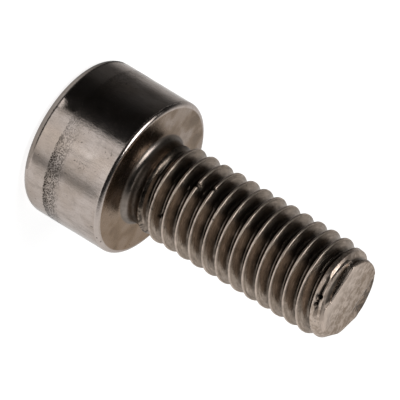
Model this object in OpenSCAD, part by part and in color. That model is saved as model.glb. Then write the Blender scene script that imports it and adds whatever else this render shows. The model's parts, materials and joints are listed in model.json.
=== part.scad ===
// Socket head cap screw, metric coarse thread, threaded close up to the head.
// The screw stands on its head: the driving face is at z = 0 and the thread points up.
// All sizes are in millimetres.

/* [Head] */
// Diameter of the round head
head_d = 10; // [9.4:0.1:10.4]
// Height of the head, from the driving face to the seat
head_h = 5.9; // [5.4:0.05:6.4]
// Rounding of the edge around the driving face
crown_edge = 0.8; // [0.3:0.05:1]
// Rounding of the edge around the seat
seat_edge = 0.3; // [0.1:0.01:0.4]

/* [Socket] */
// Width across flats of the hexagon socket
socket_af = 5; // [4:0.1:5.4]
// Depth of the hexagon socket
socket_depth = 3; // [2:0.1:3.4]
// Depth of the shallow cone at the bottom of the socket
socket_cone = 0.25; // [0.2:0.05:0.8]
// Depth of the countersink at the mouth of the socket
mouth_depth = 0.25; // [0.1:0.05:0.4]

/* [Shank] */
// Length of the shank, from the seat to the tip
length = 14.75; // [10:0.25:25]
// Diameter of the plain neck under the head
neck_d = 5.3; // [5:0.05:5.7]
// Length of the plain neck under the head
neck_len = 0.65; // [0.6:0.05:1.5]
// Fillet between the neck and the seat
neck_fillet = 0.5; // [0.2:0.05:0.55]
// Length of the taper at the tip
tip_len = 1.4; // [0.8:0.1:2.5]
// Diameter at the end of the tip taper
tip_d = 5.1; // [4.9:0.1:5.6]

/* [Thread] */
// Outside diameter of the thread
thread_d = 5.97; // [5.8:0.01:6]
// Pitch of the thread
pitch = 1; // [0.75:0.05:1.25]
// Length over which the thread fades into the neck
fade_len = 1.3; // [0.8:0.1:3]

/* [Hidden] */
$fn = 96;
// A cut reaches this far past the face that it opens
past = 1;
head_r = head_d / 2;
neck_r = neck_d / 2;
thread_r = thread_d / 2;
tip_r = tip_d / 2;
socket_r = socket_af / sqrt(3);
mouth_r = socket_r + 0.12;
tip_z = head_h + length;
// Ridge of the thread: flat crest, flanks at 30 degrees, flat root
crest_w = pitch / 8;
root_w = pitch / 6;
thread_depth = (pitch - crest_w - root_w) / 2 / tan(30);
root_r = thread_r - thread_depth;
// The thread starts just inside the neck, so that the two join in one ring
start_r = neck_r - 0.03;
fade_z = head_h + neck_len;
taper_z = tip_z - tip_len;
// Steps of the ridge around one turn, and the turns from inside the head to above the tip
steps = 48;
ridge_z = head_h - 1.69 * pitch;
turns = ceil((tip_z - ridge_z) / pitch + 1.6);
rows = turns * steps;
// Offsets of the four corners of the ridge from the middle of its crest, and which of them are at the crest
corner_z = [-(pitch - root_w) / 2, -crest_w / 2, crest_w / 2, (pitch - root_w) / 2];
corner_crest = [0, 1, 1, 0];

// Share of the full thread at a height: 0 in the neck, 1 past the fade
function thread_share(z) =
    let (t = min(1, max(0, (z - fade_z) / fade_len)))
    t * t * (3 - 2 * t);

// Largest radius at a height, which the tip taper sets
function taper_r(z) =
    z < taper_z ? thread_r : max(1, thread_r - (thread_r - tip_r) * (z - taper_z) / tip_len);

// Radius of a corner of the ridge at a height
function corner_r(crest, z) =
    min(taper_r(z), start_r + ((crest == 1 ? thread_r : root_r) - start_r) * thread_share(z));

// Corner number j of the ridge at step number i along the helix
function corner(i, j) =
    let (
        angle = i * 360 / steps,
        z = ridge_z + pitch * i / steps + corner_z[j],
        r = corner_r(corner_crest[j], z)
    )
    [r * cos(angle), r * sin(angle), z];

// Threaded rod: the ridge along a right-hand helix, each turn joined to the next, closed at both ends
module thread_rod() {
    points = concat(
        [for (i = [0:rows]) for (j = [0:3]) corner(i, j)],
        [[0, 0, ridge_z - pitch / 2], [0, 0, ridge_z + pitch * turns]]
    );
    low = 4 * (rows + 1);
    high = low + 1;
    last = rows - steps;
    flanks = [
        for (i = [0:rows - 1]) for (j = [0:2]) for (half = [0, 1])
            half == 0
                ? [4 * i + j, 4 * i + j + 1, 4 * (i + 1) + j]
                : [4 * (i + 1) + j, 4 * i + j + 1, 4 * (i + 1) + j + 1]
    ];
    roots = [
        for (i = [0:last - 1]) for (half = [0, 1])
            half == 0
                ? [4 * i + 3, 4 * (i + steps), 4 * (i + 1) + 3]
                : [4 * (i + 1) + 3, 4 * (i + steps), 4 * (i + 1 + steps)]
    ];
    low_end = concat(
        [for (i = [0:steps - 1]) [low, 4 * i, 4 * (i + 1)]],
        [for (j = [0:2]) [low, j + 1, j]],
        [[low, 4 * steps, 3]]
    );
    high_end = concat(
        [for (i = [last:rows - 1]) [high, 4 * (i + 1) + 3, 4 * i + 3]],
        [for (j = [0:2]) [high, 4 * rows + j, 4 * rows + j + 1]],
        [[high, 4 * last + 3, 4 * rows]]
    );
    polyhedron(points, concat(flanks, roots, low_end, high_end), convexity = 10);
}

// Threaded rod with its tip cut flat
module thread() {
    difference() {
        thread_rod();
        translate([-head_r, -head_r, tip_z]) cube([head_d, head_d, 4 * pitch]);
    }
}

// Half section of the head and the neck
module head_section() {
    translate([0, crown_edge]) square([head_r, head_h - crown_edge - seat_edge]);
    square([head_r - crown_edge, crown_edge]);
    translate([head_r - crown_edge, crown_edge]) circle(crown_edge);
    translate([0, head_h - seat_edge]) square([head_r - seat_edge, seat_edge]);
    translate([head_r - seat_edge, head_h - seat_edge]) circle(seat_edge);
    translate([0, head_h - seat_edge]) square([neck_r, neck_len + seat_edge]);
    difference() {
        translate([0, head_h - seat_edge]) square([neck_r + neck_fillet, neck_fillet + seat_edge]);
        translate([neck_r + neck_fillet, head_h + neck_fillet]) circle(neck_fillet);
    }
}

// Hexagon socket with a countersunk mouth and a shallow cone at its bottom
module socket() {
    translate([0, 0, -past]) cylinder(h = socket_depth + past, r = socket_r, $fn = 6);
    translate([0, 0, socket_depth]) cylinder(h = socket_cone, r1 = socket_af / 2, r2 = 0.4);
    translate([0, 0, -past])
        cylinder(h = mouth_depth + past, r1 = mouth_r + past * (mouth_r - socket_af / 2) / mouth_depth,
            r2 = socket_af / 2);
}

// The whole screw in one piece
module cap_screw() {
    color([0.55, 0.53, 0.51]) union() {
        difference() {
            rotate_extrude() head_section();
            socket();
        }
        thread();
    }
}

cap_screw();
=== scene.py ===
import json
import math
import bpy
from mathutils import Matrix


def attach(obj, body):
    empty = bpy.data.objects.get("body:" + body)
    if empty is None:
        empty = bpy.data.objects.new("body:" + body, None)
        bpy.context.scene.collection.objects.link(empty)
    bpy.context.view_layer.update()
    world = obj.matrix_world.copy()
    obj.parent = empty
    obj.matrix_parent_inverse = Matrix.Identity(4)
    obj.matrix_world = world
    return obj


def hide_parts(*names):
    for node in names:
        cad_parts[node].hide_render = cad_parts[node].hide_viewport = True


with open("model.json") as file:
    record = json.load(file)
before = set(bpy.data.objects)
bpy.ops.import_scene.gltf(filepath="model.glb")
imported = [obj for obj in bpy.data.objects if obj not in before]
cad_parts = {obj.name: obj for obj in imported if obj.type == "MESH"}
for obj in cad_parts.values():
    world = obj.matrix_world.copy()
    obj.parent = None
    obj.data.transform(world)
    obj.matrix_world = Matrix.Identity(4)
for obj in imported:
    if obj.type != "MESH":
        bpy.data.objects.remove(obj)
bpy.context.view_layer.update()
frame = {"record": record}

from types import SimpleNamespace

import bpy
import numpy as np
from mathutils import Matrix, Vector

# Main sizes in millimetres, from the frame. The screw stands on its head and +Z runs to the tip.
MM = 0.001
MOUNTS = {mount["name"]: mount for mount in frame["record"]["mounts"]}
HEAD_R = MOUNTS["head_side"]["dims"]["r_mm"]
HEAD_H = MOUNTS["seat"]["pos_m"][2] / MM
TIP_Z = MOUNTS["thread"]["pos_m"][2] / MM

# Head and socket
CROWN_EDGE = 0.8
SEAT_EDGE = 0.3
SOCKET_AF = 5.0
SOCKET_DEPTH = 3.0
SOCKET_CONE = 0.25
CONE_END_R = 0.4
CONE_MARGIN = 0.02
MOUTH_DEPTH = 0.25
MOUTH_R = SOCKET_AF / math.sqrt(3) + 0.12

# Neck and thread: the ridge has a narrow crest, flanks at 30 degrees and a rounded root
NECK_R = 2.65
NECK_FILLET = 0.45
PITCH = 1.0
THREAD_R = 2.985
CREST_FLAT = 0.038
CREST_ROUND = 0.026
ROOT_ROUND = 0.165
RIDGE_Z = HEAD_H + 0.31
FADE_Z = HEAD_H + 0.6
FADE_LEN = 1.3
SIN60 = math.sin(math.radians(60))
TAN30 = math.tan(math.radians(30))

# Tip: a taper, a flattened last crest, and an end face that stands proud behind the last groove
TAPER_Z = TIP_Z - 1.5
TAPER_LEN = 0.6
TAPER_DEPTH = 0.24
CHAMFER_LEN = 0.5
CHAMFER_SLOPE = 0.5
CHAMFER_GAIN = 0.4
LAST_CREST = RIDGE_Z + 13.75 * PITCH
FLAT_R = 2.64
FLAT_AT = 0.31
FLAT_HALF = 0.13
SEAM_AT = 0.17
SEAM_DEPTH = 0.16
LEDGE_AT = 0.48
LEDGE_RISE = 0.15
LEDGE_DROP = 0.4
LEDGE_FALL = PITCH + LEDGE_RISE - LEDGE_DROP
END_CHORD = 1.78
END_CHORD_TURN = 3.0
END_R = 2.38
END_R_GAIN = 0.06
RIM = 0.04
LOW_CHORD = 2.17
LOW_CHORD_TURN = -147.0
FAR_CHORD = 1.3
FAR_TURN = math.radians(-1)
FAR_STEP = 0.05
FAR_SLOPE = 0.06
FAR_END = 0.3
FAR_FADE = 0.5
LIP = 0.05

# Level rings that hold the rows of the thread, and how near to them a row may come
LOW_Z = HEAD_H + NECK_FILLET + 0.12
HIGH_Z = TIP_Z - 0.5
TOUCH = 1e-4

# Points around each ring of the mesh
AROUND = 216
PHI = 2 * np.pi * np.arange(AROUND) / AROUND

# Dents: azimuth from the camera's side, height over the seat, half width, half height, depth.
# A depth below 0 is a burr.
DENTS = [
    (22.0, 3.95, 0.10, 0.20, 0.14),
    (28.0, 4.92, 0.08, 0.15, 0.09),
    (-37.0, 2.72, 0.05, 0.16, -0.16),
    (-40.0, 2.60, 0.09, 0.10, 0.10),
    (-16.5, 14.26, 0.13, 0.11, 0.34),
    (-26.3, 14.25, 0.10, 0.08, 0.26),
]


def step(x, low, high):
    """Smooth step from 0 at low to 1 at high."""
    t = np.clip((x - low) / (high - low), 0, 1)
    return t * t * (3 - 2 * t)


def window(x, low, full, end, high):
    """1 between full and end, fading to 0 at low and at high."""
    return step(x, low, full) * (1 - step(x, end, high))


def smooth_min(a, b, k):
    """The lesser of two values, with their meeting rounded over a width k."""
    h = np.clip(0.5 + 0.5 * (b - a) / k, 0, 1)
    return b + (a - b) * h - k * h * (1 - h)


def camera_side(x, y):
    """Azimuth from the camera's side, -Y, positive towards -X, in degrees."""
    return np.degrees(np.arctan2(-x, -y))


def ridge(u):
    """Radius of the full thread at a distance u from the middle of a crest, in pitches."""
    a = np.abs(u)
    flank_at = CREST_FLAT + CREST_ROUND * SIN60
    apex = THREAD_R - CREST_ROUND / 2 + flank_at / TAN30
    r = apex - a / TAN30
    past = np.maximum(a - CREST_FLAT, 0)
    crest = THREAD_R - CREST_ROUND + np.sqrt(np.maximum(CREST_ROUND**2 - past**2, 0))
    r = np.where(a < flank_at, crest, r)
    b = 0.5 - a
    root = apex - 0.5 / TAN30 + 2 * ROOT_ROUND - np.sqrt(np.maximum(ROOT_ROUND**2 - b**2, 0))
    return np.where(b < ROOT_ROUND * SIN60, root, r)


def crest_dents():
    """Small dents along the crests, as a used thread has them."""
    chance = np.random.default_rng(11)
    dents = []
    for _ in range(90):
        side = chance.uniform(-180, 180)
        turn = chance.integers(2, 13)
        up = LAST_CREST - HEAD_H - PITCH * (turn + side / 360) + chance.uniform(-0.08, 0.08)
        width = chance.uniform(0.05, 0.16)
        dents.append((side, up, width, 0.06, chance.uniform(0.01, 0.035)))
    return dents


CREST_DENTS = crest_dents()


def dent_share(dent, side, z):
    """Share of a dent's depth at an azimuth and a height: 1 in its middle."""
    middle, up, width, height, _ = dent
    around = np.radians((side - middle + 180) % 360 - 180) * THREAD_R / width
    along = (z - HEAD_H - up) / height
    return np.exp(-around**2 - along**2)


def seam_share(side, past):
    """Share of the depth of the seam along the last crest, at a height past the middle of that crest."""
    return np.exp(-((past - SEAM_AT) / 0.035) ** 2) * window(side, -34, -24, 4, 18)


def end_r(side):
    """Radius of the end face, which is cut straight on the camera's side and at the lower right."""
    near = np.maximum(np.cos(np.radians(side - END_CHORD_TURN)), 0.25)
    low = np.maximum(np.cos(np.radians(side - LOW_CHORD_TURN)), 0.25)
    round_r = END_R + END_R_GAIN * step(side, 45, 80)
    return smooth_min(smooth_min(END_CHORD / near, round_r, 0.15), LOW_CHORD / low, 0.15)


def shank_r(phi, z):
    """Radius of the neck and the threaded shank at an angle and a height."""
    u = (z - RIDGE_Z) / PITCH - phi / (2 * np.pi)
    u = (u + 0.5) % 1.0 - 0.5
    r = NECK_R + (ridge(u) - NECK_R) * step(z, FADE_Z, FADE_Z + FADE_LEN)
    # the last crest is lower, and the very end is chamfered
    taper = THREAD_R + 0.05 - TAPER_DEPTH * step(z, TAPER_Z, TAPER_Z + TAPER_LEN)
    side = camera_side(np.cos(phi), np.sin(phi))
    chamfer = CHAMFER_SLOPE + CHAMFER_GAIN * step(-side, 80, 110)
    taper = taper - chamfer * np.maximum(z - TIP_Z + CHAMFER_LEN, 0)
    r = smooth_min(r, taper, 0.04)
    # last crest, pressed flat, with a seam along it
    past = z - (LAST_CREST - PITCH * side / 360)
    flat = FLAT_R - 1.4 * np.maximum(np.abs(past - FLAT_AT) - FLAT_HALF, 0)
    flat = flat - 2.0 * (1 - window(side, -125, -92, 45, 85))
    r = -smooth_min(-r, -flat, 0.05)
    r = r - SEAM_DEPTH * seam_share(side, past)
    # last groove, with a wall up to the end face
    ledge = LEDGE_AT + LEDGE_RISE * step(-side, 8, 33) - LEDGE_DROP * step(-side, 45, 70)
    ledge = ledge - LEDGE_FALL * step(-side, 100, 180)
    slope = 0.25 + step(-side, 28, 52)
    wall = end_r(side) + slope * (TIP_Z - z) + 8 * np.maximum(ledge - past, 0)
    r = smooth_min(r, wall, 0.07)
    for dent in DENTS + CREST_DENTS:
        r = r - dent[-1] * dent_share(dent, side, z)
    return r


def dirt_share(phi, z):
    """How much dirt fills the seam and the deeper dents at an angle and a height, from 0 to 1."""
    side = camera_side(np.cos(phi), np.sin(phi))
    past = z - (LAST_CREST - PITCH * side / 360)
    dirt = seam_share(side, past)
    for dent in DENTS:
        if dent[-1] > 0.05:
            dirt = np.maximum(dirt, dent_share(dent, side, z))
    return dirt


def end_z(x, y):
    """Height of the end face: a sheared edge on the far side, a rolled lip at the lower left."""
    r = np.hypot(x, y)
    side = camera_side(x, y)
    far = y * math.cos(FAR_TURN) - x * math.sin(FAR_TURN)
    sheared = FAR_STEP * step(far, FAR_CHORD, FAR_CHORD + 0.08) + FAR_SLOPE * np.maximum(far - FAR_CHORD, 0)
    sheared = sheared * (1 - step(x, FAR_END, FAR_END + FAR_FADE))
    lip = LIP * step(r, 1.75, 2.05) * window(side, -140, -105, -50, -35)
    waves = 0.012 * np.sin(2.3 * x + 1.1) * np.cos(1.9 * y + 0.4) + 0.006 * np.sin(5.1 * x - 4.3 * y)
    return TIP_Z - sheared + lip + waves


class RingMesh:
    """Mesh that grows ring by ring, with the same number of points around each ring."""

    def __init__(self):
        self.verts = []
        self.faces = []

    def ring(self, r, z):
        """Adds a ring. Radius and height are one number, or one for each angle."""
        r = np.broadcast_to(np.asarray(r, float), PHI.shape)
        z = np.broadcast_to(np.asarray(z, float), PHI.shape)
        first = len(self.verts)
        self.verts.extend(np.stack([r * np.cos(PHI), r * np.sin(PHI), z], 1).tolist())
        return list(range(first, first + AROUND))

    def join(self, low, high):
        """Closes the strip between two rings."""
        for i in range(AROUND):
            k = (i + 1) % AROUND
            self.faces.append((low[i], low[k], high[k], high[i]))

    def cap(self, ring, z, faces_up):
        """Closes a ring with a fan to a point on the axis."""
        self.verts.append((0.0, 0.0, z))
        middle = len(self.verts) - 1
        for i in range(AROUND):
            k = (i + 1) % AROUND
            self.faces.append((ring[i], ring[k], middle) if faces_up else (middle, ring[k], ring[i]))


def arc(centre_r, centre_z, radius, first, last, count):
    """Radius and height of points along an arc of the half section, between two angles in degrees."""
    turns = np.radians(np.linspace(first, last, count))
    return [(centre_r + radius * math.cos(a), centre_z + radius * math.sin(a)) for a in turns]


def head_rows():
    """Radius and height of each ring, from the middle of the socket over the head and up to the neck."""
    hexagon = SOCKET_AF / 2 / np.cos(PHI % (np.pi / 3) - np.pi / 6)
    mouth_z = MOUTH_DEPTH * (MOUTH_R - hexagon) / (MOUTH_R - SOCKET_AF / 2)
    cone_r = SOCKET_AF / 2 - CONE_END_R - CONE_MARGIN
    rows = [(CONE_END_R + cone_r * t, SOCKET_DEPTH + SOCKET_CONE * (1 - t)) for t in (0, 0.33, 0.66, 1)]
    rows += [(hexagon, SOCKET_DEPTH + (mouth_z - SOCKET_DEPTH) * t) for t in (0, 0.02, 0.3, 0.6, 0.96, 1)]
    rows += [(hexagon + (MOUTH_R - hexagon) * t, mouth_z * (1 - t)) for t in (0.5, 1)]
    rows += [(r, 0.0) for r in (3.1, 3.4, 3.7, 4.0)]
    rows += arc(HEAD_R - CROWN_EDGE, CROWN_EDGE, CROWN_EDGE, -90, 0, 15)
    rows += [(HEAD_R, z) for z in np.linspace(CROWN_EDGE, HEAD_H - SEAT_EDGE, 14)[1:]]
    rows += arc(HEAD_R - SEAT_EDGE, HEAD_H - SEAT_EDGE, SEAT_EDGE, 0, 90, 11)[1:]
    rows += [(r, HEAD_H) for r in np.linspace(HEAD_R - SEAT_EDGE, NECK_R + NECK_FILLET, 9)[1:]]
    rows += arc(NECK_R + NECK_FILLET, HEAD_H + NECK_FILLET, NECK_FILLET, 270, 180, 13)[1:]
    return rows


def thread_offsets():
    """Heights of the rows in one pitch, from the middle of a crest, close together at crest and root."""
    flank_at = CREST_FLAT + CREST_ROUND * SIN60
    flank = np.linspace(flank_at + 0.012, 0.5 - ROOT_ROUND * SIN60, 5)
    half = [CREST_FLAT, CREST_FLAT + CREST_ROUND / 2, flank_at, *flank, 0.41, 0.455]
    return sorted([-h for h in half] + [0] + half + [0.5])


def add_shank(rings, below):
    """Rows that follow the helix, held between a level ring at the neck and one below the tip."""
    low = rings.ring(NECK_R, LOW_Z)
    rings.join(below, low)
    high = rings.ring(shank_r(PHI, np.full(AROUND, HIGH_Z)), HIGH_Z)
    offsets = thread_offsets()
    heights = np.array([n + o for n in range(-2, 17) for o in offsets]) * PITCH + RIDGE_Z
    zz = heights[None, :] + (PHI * PITCH / (2 * np.pi))[:, None]
    rr = shank_r(np.repeat(PHI[:, None], len(heights), 1), zz)
    inside = (zz > LOW_Z + TOUCH) & (zz < HIGH_Z - TOUCH)
    number = np.full(zz.shape, -1)
    number[inside] = len(rings.verts) + np.arange(inside.sum())
    for i, j in zip(*np.nonzero(inside)):
        rings.verts.append((rr[i, j] * math.cos(PHI[i]), rr[i, j] * math.sin(PHI[i]), zz[i, j]))

    def at(i, j):
        """Point of row j at angle i. Past the last angle the row goes on one pitch higher."""
        if i == AROUND:
            i, j = 0, j + len(offsets)
        if j >= len(heights) or zz[i, j] >= HIGH_Z - TOUCH:
            return high[i]
        return low[i] if not inside[i, j] else int(number[i, j])

    for i in range(AROUND):
        for j in range(len(heights) - 1):
            quad = [at(i, j), at(i + 1, j), at(i + 1, j + 1), at(i, j + 1)]
            face = [v for k, v in enumerate(quad) if v != quad[k - 1]]
            if len(face) > 2:
                rings.faces.append(tuple(face))
    return high


def add_tip(rings, below):
    """Level rows up to the rim of the tip, a rounded rim and the end face."""
    inner = shank_r(PHI, np.full(AROUND, TIP_Z - RIM)) - RIM
    top = end_z(inner * np.cos(PHI), inner * np.sin(PHI)) - RIM
    for t in np.linspace(0, 1, 29)[1:]:
        level = HIGH_Z + (top - HIGH_Z) * t
        new = rings.ring(shank_r(PHI, level), level)
        rings.join(below, new)
        below = new
    edge = shank_r(PHI, top)
    for a in np.radians(np.linspace(0, 90, 6)[1:]):
        new = rings.ring(edge - RIM * (1 - math.cos(a)), top + RIM * math.sin(a))
        rings.join(below, new)
        below = new
    for t in np.linspace(1, 0, 21)[1:-1]:
        r = (edge - RIM) * t
        new = rings.ring(r, end_z(r * np.cos(PHI), r * np.sin(PHI)))
        rings.join(below, new)
        below = new
    rings.cap(below, float(end_z(0.0, 0.0)), faces_up=True)


def screw_mesh():
    """Closed mesh of the whole screw, with the share of dirt at each point."""
    rings = RingMesh()
    head = [rings.ring(r, z) for r, z in head_rows()]
    for low, high in zip(head[:-1], head[1:]):
        rings.join(low, high)
    rings.cap(head[0], SOCKET_DEPTH + SOCKET_CONE, faces_up=False)
    add_tip(rings, add_shank(rings, head[-1]))
    mesh = bpy.data.meshes.new("cap_screw_visual")
    mesh.from_pydata((np.array(rings.verts) * MM).tolist(), [], rings.faces)
    mesh.validate()
    points = np.empty(3 * len(mesh.vertices))
    mesh.vertices.foreach_get("co", points)
    x, y, z = points.reshape(-1, 3).T / MM
    dirt = mesh.attributes.new("dirt", "FLOAT", "POINT")
    dirt.data.foreach_set("value", dirt_share(np.arctan2(y, x), z) * (np.hypot(x, y) > END_CHORD))
    mesh.shade_smooth()
    mesh.set_sharp_from_angle(angle=math.radians(50))
    return mesh


class Nodes:
    """Adds nodes to one tree. Each value is a number, a vector, a colour or the output of another node."""

    def __init__(self, tree):
        self.tree = tree

    def put(self, socket, value):
        if isinstance(value, bpy.types.NodeSocket):
            self.tree.links.new(value, socket)
        else:
            socket.default_value = value

    def new(self, kind, **settings):
        node = self.tree.nodes.new("ShaderNode" + kind)
        for name, value in settings.items():
            setattr(node, name, value)
        return node

    def math(self, operation, *values):
        node = self.new("Math", operation=operation)
        for socket, value in zip(node.inputs, values):
            self.put(socket, value)
        return node.outputs[0]

    def times(self, first, *others):
        for other in others:
            first = self.math("MULTIPLY", first, other)
        return first

    def plus(self, first, *others):
        for other in others:
            first = self.math("ADD", first, other)
        return first

    def vector(self, operation, one, two):
        node = self.new("VectorMath", operation=operation)
        self.put(node.inputs[0], one)
        self.put(node.inputs[1], two)
        return node.outputs["Value" if operation in ("DOT_PRODUCT", "DISTANCE") else "Vector"]

    def ramp(self, value, low, high, start=0.0, end=1.0):
        node = self.new("MapRange", interpolation_type="SMOOTHSTEP")
        self.put(node.inputs["Value"], value)
        for name, number in zip(("From Min", "From Max", "To Min", "To Max"), (low, high, start, end)):
            node.inputs[name].default_value = number
        return node.outputs["Result"]

    def band(self, value, low, full, end, high):
        return self.times(self.ramp(value, low, full), self.ramp(value, end, high, 1.0, 0.0))

    def noise(self, place, scale, detail=2.0, roughness=0.5):
        node = self.new("TexNoise")
        self.put(node.inputs["Vector"], place)
        node.inputs["Scale"].default_value = scale
        node.inputs["Detail"].default_value = detail
        node.inputs["Roughness"].default_value = roughness
        return node.outputs["Fac"]

    def mix(self, share, one, two):
        node = self.new("Mix", data_type="RGBA")
        self.put(node.inputs[0], share)
        self.put(node.inputs[6], one)
        self.put(node.inputs[7], two)
        return node.outputs[2]


# Middle of a small patch of pits on the side of the head
PITS_AT = (1.40, -4.80, 3.85)

# Colours of the steel: bright, worn bare, three brown stains, dull with handling (also painted shade on the
# crown), the thread's flanks, and dark: dirt in pits and seams, darker roots, and painted shade in the last
# groove and on the fillet
BRIGHT = (0.57, 0.499, 0.458, 1)
WORN = (0.66, 0.55, 0.47, 1)
STAINED = (0.36, 0.285, 0.225, 1)
TARNISHED = (0.265, 0.198, 0.146, 1)
BROWNED = (0.265, 0.176, 0.108, 1)
DULL_AND_SHADE = (0.25, 0.215, 0.185, 1)
FLANK = (0.31, 0.25, 0.2, 1)
DIRT_AND_SHADE = (0.05, 0.04, 0.032, 1)

# Tint of the steel's reflection at a grazing angle, and depth of its fine unevenness in metres
EDGE_TINT = (0.65, 0.65, 0.65, 1)
BUMP_DEPTH = 0.000012


def steel_zones(n, x, y, z, r):
    """Zones of the screw's surface, each as a share from 0 to 1."""
    at = SimpleNamespace()

    # head, from the driving face to the neck
    at.crown = n.times(n.ramp(z, 0.35, 0.65, 1.0, 0.0), n.ramp(x, -1.0, 3.0, 1.0, 0.0))
    at.side = n.ramp(r, HEAD_R - 0.15, HEAD_R - 0.05)
    brim = n.band(z, HEAD_H - 0.3, HEAD_H - 0.22, HEAD_H - 0.05, HEAD_H)
    at.brim = n.times(brim, n.ramp(r, 4.65, 4.75))
    at.seat = n.times(n.ramp(z, HEAD_H - 0.07, HEAD_H - 0.01), n.band(r, 2.8, 3.0, 4.66, 4.74))
    at.fillet = n.band(z, HEAD_H + 0.005, HEAD_H + 0.05, HEAD_H + 0.4, HEAD_H + 0.5)
    neck = n.band(z, HEAD_H + 0.35, HEAD_H + 0.5, HEAD_H + 1.0, HEAD_H + 1.5)
    at.neck = n.times(neck, n.ramp(r, 2.75, 2.9, 1.0, 0.0))

    # tip: the end face, its rolled lip, its sheared patch with a burr, and the last crest
    at.end = n.ramp(z, TIP_Z - 0.13, TIP_Z - 0.07)
    lip = n.ramp(n.plus(n.times(x, 0.73), n.times(y, -0.68)), 2.05, 2.15)
    at.lip = n.times(at.end, n.math("MAXIMUM", lip, n.ramp(y, -1.65, -1.3, 1.0, 0.0)))
    far = n.plus(n.times(y, math.cos(FAR_TURN)), n.times(x, -math.sin(FAR_TURN)))
    patch = n.ramp(x, FAR_END, FAR_END + FAR_FADE, 1.0, 0.0)
    sheared = n.times(n.ramp(z, TIP_Z - 0.35, TIP_Z - 0.25), n.ramp(far, FAR_CHORD, FAR_CHORD + 0.06))
    at.sheared = n.times(sheared, patch)
    burr = n.band(far, FAR_CHORD - 0.07, FAR_CHORD - 0.03, FAR_CHORD, FAR_CHORD + 0.02)
    at.burr = n.times(at.end, patch, burr)
    at.last = n.times(n.ramp(z, TIP_Z - 1.0, TIP_Z - 0.85), n.ramp(r, 2.25, 2.58))
    at.torn = n.math("MAXIMUM", n.times(at.end, n.ramp(y, -1.6, 0.3, 0.3, 1.0)), n.times(at.last, 0.7))

    # thread: its run-out at the neck, its crests and roots, and all that is worn bare
    at.shank = n.ramp(z, HEAD_H + 0.3, HEAD_H + 0.6)
    run_out = n.band(z, HEAD_H + 0.7, HEAD_H + 0.9, HEAD_H + 1.6, HEAD_H + 2.1)
    at.run_out = n.times(run_out, n.ramp(r, 2.6, 2.7))
    at.crest = n.times(at.shank, n.ramp(r, 2.92, 2.97))
    bare_tip = n.math("MAXIMUM", at.end, at.last)
    at.bare = n.math("MAXIMUM", at.crest, bare_tip)
    at.root = n.times(at.shank, n.ramp(r, 2.4, 2.75, 1.0, 0.0), n.math("SUBTRACT", 1.0, bare_tip))
    # the last groove below the end face, whose darkening is painted shade
    at.groove = n.times(at.root, n.ramp(z, TIP_Z - 0.8, TIP_Z - 0.6))
    return at


def steel_patterns(n, at, place, x, y, z, r):
    """Uneven patterns, from large clouds to fine grain, and the scuffs and pits that they make."""
    look = SimpleNamespace()
    look.cloud = n.noise(place, 0.55, 3)
    look.stains = n.noise(place, 0.65, 3, 0.5)
    look.mottle = n.noise(place, 1.7, 4, 0.6)
    look.grain = n.noise(place, 11, 3, 0.6)
    look.strokes = n.noise(n.vector("MULTIPLY", place, (1, 1, 0.22)), 9, 2)
    look.torn = n.noise(n.vector("MULTIPLY", place, (0.75, 1, 1)), 4, 5, 0.65)
    look.smear = n.noise(n.vector("MULTIPLY", place, (1, 1, 0.4)), 1.6, 6, 0.7)
    rings = n.noise(n.vector("MULTIPLY", place, (0.25, 0.25, 1)), 7, 3)

    # fine lines along the thread
    along = n.new("CombineXYZ")
    n.put(along.inputs[0], n.times(r, 12.0))
    n.put(along.inputs[1], n.times(n.math("ARCTAN2", x, n.times(y, -1.0)), 3.0))
    n.put(along.inputs[2], z)
    look.lines = n.noise(along.outputs[0], 1.0, 3, 0.6)

    # scuffed band around the head, a third of the way up, sharp below and ragged above
    sharp = n.plus(z, n.times(look.mottle, 0.2), n.times(look.grain, 0.2), -0.2)
    ragged = n.plus(z, n.times(look.mottle, 0.9), n.times(look.grain, 0.4), -0.65)
    band = n.times(at.side, n.ramp(sharp, 1.77, 1.85), n.ramp(ragged, 2.5, 3.05, 1.0, 0.0))
    band = n.times(band, n.ramp(x, -0.5, 2.5, 0.4, 1.0))
    dots = n.ramp(n.plus(look.grain, n.times(rings, 0.3)), 0.61, 0.69, 0.0, 0.72)
    look.scuff = n.times(band, n.plus(dots, n.ramp(z, 1.85, 2.3, 0.45, 0.08)))

    # one patch of pits on the side of the head, and specks here and there
    pits = n.ramp(n.vector("DISTANCE", place, PITS_AT), 0.1, 0.6, 1.0, 0.0)
    look.pits = n.times(pits, n.ramp(look.grain, 0.5, 0.62))
    look.specks = n.times(n.ramp(n.noise(place, 4.5, 1), 0.70, 0.76), n.ramp(look.cloud, 0.4, 0.6))
    return look


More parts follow.
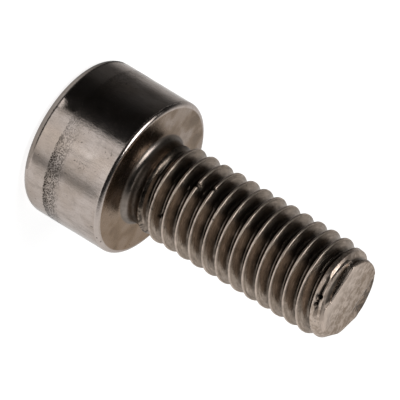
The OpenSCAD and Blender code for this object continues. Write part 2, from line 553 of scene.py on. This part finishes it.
def steel_colour(n, at, look, x, y):
    """Colour of the steel: bright, and over it one layer after the other, each with its share."""
    dirt = n.new("Attribute", attribute_name="dirt").outputs["Fac"]
    everywhere = [
        (n.ramp(look.cloud, 0.32, 0.72, 0.0, 0.6), STAINED),
        (n.ramp(look.smear, 0.45, 0.8, 0.0, 0.7), DULL_AND_SHADE),
    ]
    head = [
        (n.times(at.side, n.ramp(look.strokes, 0.5, 0.72, 0.0, 0.2)), DULL_AND_SHADE),
        (n.times(at.side, n.ramp(look.grain, 0.45, 0.75, 0.0, 0.25)), DULL_AND_SHADE),
        # the crown darker towards -X: dull steel, with painted shade on that side
        (n.times(at.crown, 0.5), DULL_AND_SHADE),
        (n.times(at.seat, n.ramp(look.stains, 0.42, 0.58, 0.6, 0.97)), TARNISHED),
        (n.times(at.seat, n.ramp(x, -1.0, 3.5, 0.0, 0.6)), BROWNED),
        (n.times(at.seat, n.ramp(look.stains, 0.5, 0.68, 0.0, 0.3)), DIRT_AND_SHADE),
        (n.times(at.fillet, n.ramp(look.mottle, 0.35, 0.6, 0.9, 0.5)), DULL_AND_SHADE),
        # the fillet darker towards -X and cleaner where the key light's highlight falls: dirt, with painted
        # shade away from the highlight
        (n.times(at.fillet, n.ramp(x, -3.0, -1.4, 0.6, 0.28)), DIRT_AND_SHADE),
        (n.times(at.brim, 0.7), BRIGHT),
    ]
    thread = [
        (n.times(at.shank, n.ramp(look.mottle, 0.3, 0.7, 0.75, 1.0)), FLANK),
        (n.times(at.shank, n.ramp(look.lines, 0.52, 0.68, 0.0, 0.4)), DIRT_AND_SHADE),
        (n.times(at.shank, n.ramp(look.lines, 0.3, 0.44, 0.5, 0.0)), WORN),
        (n.times(at.shank, n.ramp(look.grain, 0.5, 0.68, 0.0, 0.35)), DIRT_AND_SHADE),
        (n.times(at.bare, n.ramp(look.mottle, 0.3, 0.7, 1.0, 0.6)), WORN),
        (n.times(at.crest, n.ramp(look.torn, 0.48, 0.6, 0.0, 0.2)), DIRT_AND_SHADE),
    ]
    tip = [
        (n.times(at.end, n.ramp(y, -1.2, 1.2, 0.0, 0.55)), STAINED),
        (n.times(at.torn, n.ramp(look.torn, 0.44, 0.57, 0.0, 0.8)), TARNISHED),
        (n.math("MAXIMUM", n.times(at.lip, 0.8), n.times(at.burr, 0.95)), WORN),
    ]
    dirty = [
        # the roots darker
        (n.times(at.root, n.ramp(look.mottle, 0.3, 0.7, 0.5, 0.85)), DIRT_AND_SHADE),
        # painted shade: the last groove darkened
        (n.times(at.groove, n.ramp(look.torn, 0.4, 0.6, 0.85, 0.4)), DIRT_AND_SHADE),
        (n.times(at.neck, n.ramp(look.mottle, 0.3, 0.6, 0.9, 0.6)), DIRT_AND_SHADE),
        (n.times(at.run_out, n.ramp(look.torn, 0.44, 0.58, 0.85, 0.0)), DIRT_AND_SHADE),
        (look.scuff, DIRT_AND_SHADE),
        (n.times(look.pits, 0.6), DIRT_AND_SHADE),
        (n.times(at.sheared, 0.5), BROWNED),
        (n.times(at.sheared, n.ramp(look.torn, 0.42, 0.56, 0.0, 0.7)), DIRT_AND_SHADE),
        (n.times(look.specks, 0.85), DIRT_AND_SHADE),
        (n.ramp(dirt, 0.04, 0.25), DIRT_AND_SHADE),
    ]
    colour = BRIGHT
    for share, over in everywhere + head + thread + tip + dirty:
        colour = n.mix(share, colour, over)
    return colour


def steel_roughness(n, at, look):
    """Roughness: a smooth ground, and more of it where the steel is worn, torn or dirty."""
    return n.plus(
        0.13,
        n.times(at.shank, 0.04),
        n.times(at.neck, n.ramp(look.mottle, 0.35, 0.6, 0.3, 0.1)),
        n.times(at.fillet, 0.15),
        n.times(at.brim, 0.05),
        n.times(at.crest, 0.08),
        n.times(at.seat, 0.1),
        n.times(at.end, 0.12),
        n.times(at.last, 0.18),
        n.ramp(look.mottle, 0.35, 0.75, 0.0, 0.09),
        n.times(look.scuff, 0.2),
    )


def steel_material():
    """Bright cold-formed steel with stains, a scuffed band, fine strokes, darker thread roots, and painted
    shade in the last groove.
    """
    material = bpy.data.materials.new("bright_steel")
    material.use_nodes = True
    n = Nodes(material.node_tree)
    shader = material.node_tree.nodes["Principled BSDF"]

    # place on the screw, in millimetres
    place = n.vector("MULTIPLY", n.new("TexCoord").outputs["Object"], (1 / MM, 1 / MM, 1 / MM))
    parts = n.new("SeparateXYZ")
    n.put(parts.inputs[0], place)
    x, y, z = parts.outputs
    r = n.math("SQRT", n.plus(n.times(x, x), n.times(y, y)))

    at = steel_zones(n, x, y, z, r)
    look = steel_patterns(n, at, place, x, y, z, r)
    n.put(shader.inputs["Base Color"], steel_colour(n, at, look, x, y))
    n.put(shader.inputs["Roughness"], steel_roughness(n, at, look))
    shader.inputs["Metallic"].default_value = 1.0
    shader.inputs["Specular Tint"].default_value = EDGE_TINT
    bump = n.new("Bump")
    bump.inputs["Distance"].default_value = BUMP_DEPTH
    height = n.plus(n.times(look.grain, 0.5), n.times(look.strokes, 0.3), n.times(look.mottle, 0.4))
    n.put(bump.inputs["Height"], n.plus(height, n.times(at.shank, look.lines, 0.5)))
    n.put(shader.inputs["Normal"], bump.outputs["Normal"])
    return material


screw = bpy.data.objects.new("cap_screw_visual", screw_mesh())
bpy.context.scene.collection.objects.link(screw)
screw.data.materials.append(steel_material())
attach(screw, "root")
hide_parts("cap_screw")

# Camera: 25 degrees above the floor on the -Y side, rolled so that the tip points to the lower right
ROLL = math.radians(31.28)
ELEVATION = math.radians(24.988)
PIXELS_PER_MM = 17.1792
CAMERA_FAR = 850.0
SENSOR = 36.0
PICTURE = 400.0
SEAT_RIGHT = -48.41
SEAT_UP = 20.90


def add_camera():
    """Camera far off with a long lens. The seat falls SEAT_RIGHT and SEAT_UP pixels off centre."""
    level = Vector((0, math.sin(ELEVATION), math.cos(ELEVATION)))
    right = level * math.cos(ROLL) - Vector((math.sin(ROLL), 0, 0))
    up = -level * math.sin(ROLL) - Vector((math.cos(ROLL), 0, 0))
    back = Vector((0, -math.cos(ELEVATION), math.sin(ELEVATION)))
    spot = Vector((0, 0, HEAD_H)) - (right * SEAT_RIGHT + up * SEAT_UP) / PIXELS_PER_MM + back * CAMERA_FAR
    data = bpy.data.cameras.new("camera")
    data.sensor_width = SENSOR
    data.lens = PIXELS_PER_MM * CAMERA_FAR * SENSOR / PICTURE
    data.clip_start = 0.01
    data.clip_end = 50.0
    camera = bpy.data.objects.new("camera", data)
    turn = Matrix((right, up, back)).transposed()
    camera.matrix_world = Matrix.Translation(spot * MM) @ turn.to_4x4()
    bpy.context.scene.collection.objects.link(camera)
    bpy.context.scene.camera = camera


add_camera()


def direction(azimuth, elevation):
    """Unit vector at an azimuth from the camera's side, positive towards -X, and an elevation."""
    a, e = math.radians(azimuth), math.radians(elevation)
    return Vector((-math.cos(e) * math.sin(a), -math.cos(e) * math.cos(a), math.sin(e)))


# Floor: pale paper, white for the camera and in reflections, less where the screw shades it
FLOOR_HALF = 3.0
FLOOR_LIFT = 0.84
FLOOR_COLOUR = (0.45, 0.45, 0.45, 1)
WHITE = (1, 1, 1, 1)
BLACK = (0, 0, 0, 1)


def floor_material():
    material = bpy.data.materials.new("pale_floor")
    material.use_nodes = True
    n = Nodes(material.node_tree)
    shader = material.node_tree.nodes["Principled BSDF"]
    shader.inputs["Base Color"].default_value = FLOOR_COLOUR
    shader.inputs["Roughness"].default_value = 1.0
    shader.inputs["Specular IOR Level"].default_value = 0.0
    shader.inputs["Emission Color"].default_value = WHITE
    path = n.new("LightPath").outputs
    seen = n.math("MAXIMUM", path["Is Camera Ray"], path["Is Glossy Ray"])
    seen = n.math("MAXIMUM", seen, path["Is Transmission Ray"])
    n.put(shader.inputs["Emission Strength"], n.times(seen, FLOOR_LIFT))
    return material


def add_stage(name, points, faces, material):
    """Mesh that belongs to the studio and not to the screw."""
    mesh = bpy.data.meshes.new(name)
    mesh.from_pydata([tuple(p) for p in points], [], faces)
    mesh.materials.append(material)
    stage = bpy.data.objects.new(name, mesh)
    bpy.context.scene.collection.objects.link(stage)
    return stage


CORNERS = [(-FLOOR_HALF, -FLOOR_HALF, 0), (FLOOR_HALF, -FLOOR_HALF, 0)]
CORNERS += [(FLOOR_HALF, FLOOR_HALF, 0), (-FLOOR_HALF, FLOOR_HALF, 0)]
add_stage("floor", CORNERS, [(0, 1, 2, 3)], floor_material())

# Glowing cards on the floor, seen in the metal alone: painted reflections that light nothing and cast no
# shadow
CARD_LIFT = 0.02
CARD_GAP = 0.02
CARD_REACH = 400.0
CARD_STEPS = 64


def reflection_card_material(name):
    material = bpy.data.materials.new(name)
    material.use_nodes = True
    n = Nodes(material.node_tree)
    shader = material.node_tree.nodes["Principled BSDF"]
    shader.inputs["Base Color"].default_value = BLACK
    shader.inputs["Roughness"].default_value = 1.0
    shader.inputs["Specular IOR Level"].default_value = 0.0
    shader.inputs["Emission Color"].default_value = WHITE
    # the card glows with the grey of its shade attribute, a painted reflection
    shade = n.new("Attribute", attribute_name="shade")
    n.put(shader.inputs["Emission Strength"], shade.outputs["Fac"])
    return material


def add_reflection_card(name, lift, grid, shades):
    """Glowing card from rows of points, in millimetres, with a grey shade at each point: a painted
    reflection.
    """
    rows, columns = len(grid), len(grid[0])
    points = [(p.x * MM, p.y * MM, lift * MM) for row in grid for p in row]
    faces = []
    for i in range(rows - 1):
        for k in range(columns - 1):
            first = i * columns + k
            faces.append((first, first + 1, first + columns + 1, first + columns))
    stage = add_stage(name, points, faces, reflection_card_material(name))
    shade = stage.data.attributes.new("shade", "FLOAT", "POINT")
    shade.data.foreach_set("value", [float(s) for row in shades for s in row])
    # hidden from the camera, from shadows and from diffuse light, so that only the metal's reflections show
    # it
    stage.visible_camera = False
    stage.visible_shadow = False
    stage.visible_diffuse = False


def narrow_gap(azimuth):
    """Gap between the foot of the head and a card, the same all around."""
    return CARD_GAP


def sector_reflection_card(name, first, last, shade_at, gap_at=narrow_gap, outer=CARD_REACH, lift=CARD_LIFT):
    """Glowing card, a painted reflection, that fills what the side of the head reflects between two
    azimuths.
    """
    azimuths = np.linspace(first, last, CARD_STEPS + 1)
    near = [direction(a / 2, 0) * HEAD_R + direction(a, 0) * gap_at(a) for a in azimuths]
    far = [direction(a / 2, 0) * HEAD_R + direction(a, 0) * outer for a in azimuths]
    shades = [shade_at(a) for a in azimuths]
    add_reflection_card(name, lift, [near, far], [shades, shades])


def dark_shade(azimuth):
    """Painted dark reflection: nearly black, paler far round the screw."""
    edge = 0.008 * (1 - step(azimuth, 30, 44))
    return 0.01 + edge + 0.07 * step(azimuth, 62, 118) + 0.8 * step(azimuth, 118, 158)


def dark_gap(azimuth):
    """The dark card leaves more floor free at its end by the camera."""
    return 1.65 - 1.55 * step(azimuth, 28, 37)


def edge_shade(azimuth):
    """Painted reflection: pale, falling off towards the dark card, with one dark line close to it."""
    fall = 0.13 * step(azimuth, -14, 0) + 0.05 * step(azimuth, 6, 12)
    return 1.0 - fall - 0.6 * window(azimuth, 14.6, 15.4, 16.8, 17.4)


def strip_shade(azimuth):
    """Painted reflection: pale grey with soft ends."""
    return 1.0 - 0.14 * window(azimuth, -150, -125, -50, -22)


def line_shade(azimuth):
    """Painted reflection: a soft darker line on the pale grey strip."""
    return strip_shade(azimuth) - 0.52 * window(azimuth, -73, -60.3, -59.7, -40)


# painted reflections in the metal: a dark one, a pale edge with a dark line, a pale grey strip and a darker
# line on it
sector_reflection_card("painted_dark_reflection", 19, 160, dark_shade, dark_gap)
sector_reflection_card("painted_edge_reflection", -14, 19, edge_shade)
sector_reflection_card("painted_grey_reflection", -150, -22, strip_shade)
sector_reflection_card("painted_line_reflection", -73, -40, line_shade, outer=14.0, lift=1.5 * CARD_LIFT)


def painted_foot_shadow():
    """Painted contact shadow: a narrow dark card around the foot of the head, seen in the metal alone as a
    dark line along its rounded edge.
    """
    sides = np.linspace(-45, 100, CARD_STEPS + 1)
    share = window(sides, -45, -15, 90, 100)
    under = 0.62 - 0.35 * step(sides, 25, 70)
    beyond = np.where(sides < 8.5, 1.0, 0.01)
    line = beyond + (0.04 - beyond) * share
    grid = [[direction(s, 0) * r for s in sides] for r in HEAD_R + np.array((-0.4, 0.15, 0.22, 0.44, 0.54))]
    add_reflection_card("painted_foot_shadow", 2 * CARD_LIFT, grid, [under, under, line, line, beyond])


painted_foot_shadow()


# Walls of the studio: the direction of the pale ones, and the strength of the dim and the pale ones
PALE_SIDE = (0.55, 0.82, -0.2)
DIM_WALL = 0.015
PALE_WALL = 0.85


def studio_world():
    """Dim front, paler walls at the right and behind."""
    world = bpy.data.worlds.new("studio")
    bpy.context.scene.world = world
    world.use_nodes = True
    n = Nodes(world.node_tree)
    ray = n.new("TexCoord").outputs["Generated"]
    background = world.node_tree.nodes["Background"]
    background.inputs["Color"].default_value = WHITE
    light = n.ramp(n.vector("DOT_PRODUCT", ray, PALE_SIDE), -0.15, 0.55, DIM_WALL, PALE_WALL)
    n.put(background.inputs["Strength"], light)


studio_world()


# Key light: one softbox above and beside the screw, in degrees, metres and watts
KEY_AZIMUTH = 60.5
KEY_ELEVATION = 56.7
KEY_DISTANCE = 0.6
KEY_SIZE = 0.36
KEY_WATTS = 2.0
AIM = Vector((0, 0, 0.01))


def softbox(name, to, distance, size, watts):
    """Square lamp that faces the middle of the screw."""
    lamp = bpy.data.lights.new(name, "AREA")
    lamp.shape = "RECTANGLE"
    lamp.size = size
    lamp.size_y = size
    lamp.energy = watts
    box = bpy.data.objects.new(name, lamp)
    box.location = AIM + to * distance
    box.rotation_euler = to.to_track_quat("Z", "Y").to_euler()
    bpy.context.scene.collection.objects.link(box)


softbox("key_softbox", direction(KEY_AZIMUTH, KEY_ELEVATION), KEY_DISTANCE, KEY_SIZE, KEY_WATTS)
bpy.context.scene.view_settings.view_transform = "Standard"
